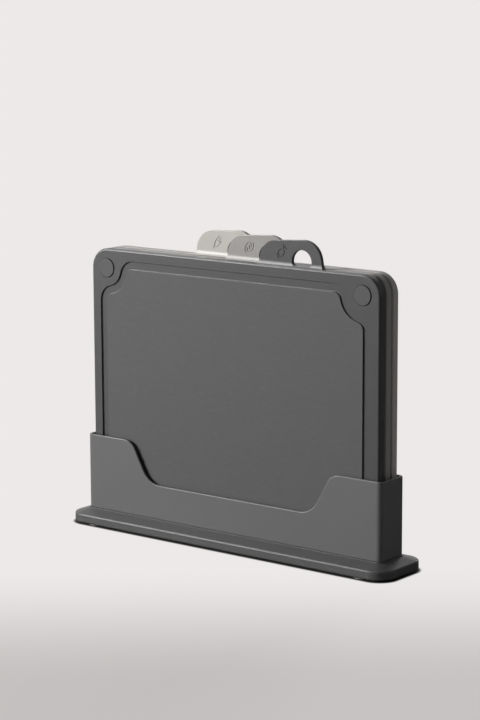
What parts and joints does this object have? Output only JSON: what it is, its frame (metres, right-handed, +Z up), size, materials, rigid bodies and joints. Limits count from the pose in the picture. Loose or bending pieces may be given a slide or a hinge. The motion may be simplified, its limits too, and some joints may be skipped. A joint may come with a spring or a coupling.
{
  "type": "chopping board set with stand",
  "caption": "Index chopping boards standing on edge in an open-fronted sleeve on a low plinth, each with a stepped tab, a hanging hole, a juice groove and grip pads.",
  "frame": {"origin": "on the table under the middle of the stand", "axes": "+X along the boards to the right, +Y from the front to the back, +Z up"},
  "size_m": [0.391, 0.07, 0.3077],
  "materials": {
    "stand_plastic": "satin charcoal plastic",
    "rack_plastic": "matt dark grey plastic",
    "front_board_plastic": "satin charcoal plastic, finely textured cutting face",
    "middle_board_plastic": "satin mid grey plastic, finely textured cutting face",
    "rear_board_plastic": "satin light grey plastic, finely textured cutting face",
    "front_pad_rubber": "matt",
    "middle_pad_rubber": "matt",
    "rear_pad_rubber": "matt",
    "foot_silicone": "translucent silicone",
    "screw_steel": "zinc plated"
  },
  "bodies": {
    "stand": {"base_plinth": "stand_plastic", "stand_sleeve": "stand_plastic", "divider_rack": "rack_plastic", "base_screws": "screw_steel", "front_divider": "rack_plastic", "rear_divider": "rack_plastic", "foot_front_left": "foot_silicone", "foot_rear_left": "foot_silicone", "foot_front_right": "foot_silicone", "foot_rear_right": "foot_silicone"},
    "front_board": {"front_board": "front_board_plastic", "front_pad_lower_left": "front_pad_rubber", "front_pad_upper_left": "front_pad_rubber", "front_pad_lower_right": "front_pad_rubber", "front_pad_upper_right": "front_pad_rubber"},
    "middle_board": {"middle_board": "middle_board_plastic", "middle_pad_lower_left": "middle_pad_rubber", "middle_pad_upper_left": "middle_pad_rubber", "middle_pad_lower_right": "middle_pad_rubber", "middle_pad_upper_right": "middle_pad_rubber"},
    "rear_board": {"rear_board": "rear_board_plastic", "rear_pad_lower_left": "rear_pad_rubber", "rear_pad_upper_left": "rear_pad_rubber", "rear_pad_lower_right": "rear_pad_rubber", "rear_pad_upper_right": "rear_pad_rubber"}
  },
  "joints": [
    {"name": "front_board_lift", "type": "slide", "parent": "stand", "child": "front_board", "axis": [0, 0, 1], "range_m": [0, 0.0794]},
    {"name": "middle_board_lift", "type": "slide", "parent": "stand", "child": "middle_board", "axis": [0, 0, 1], "range_m": [0, 0.0794]},
    {"name": "rear_board_lift", "type": "slide", "parent": "stand", "child": "rear_board", "axis": [0, 0, 1], "range_m": [0, 0.0794]}
  ]
}
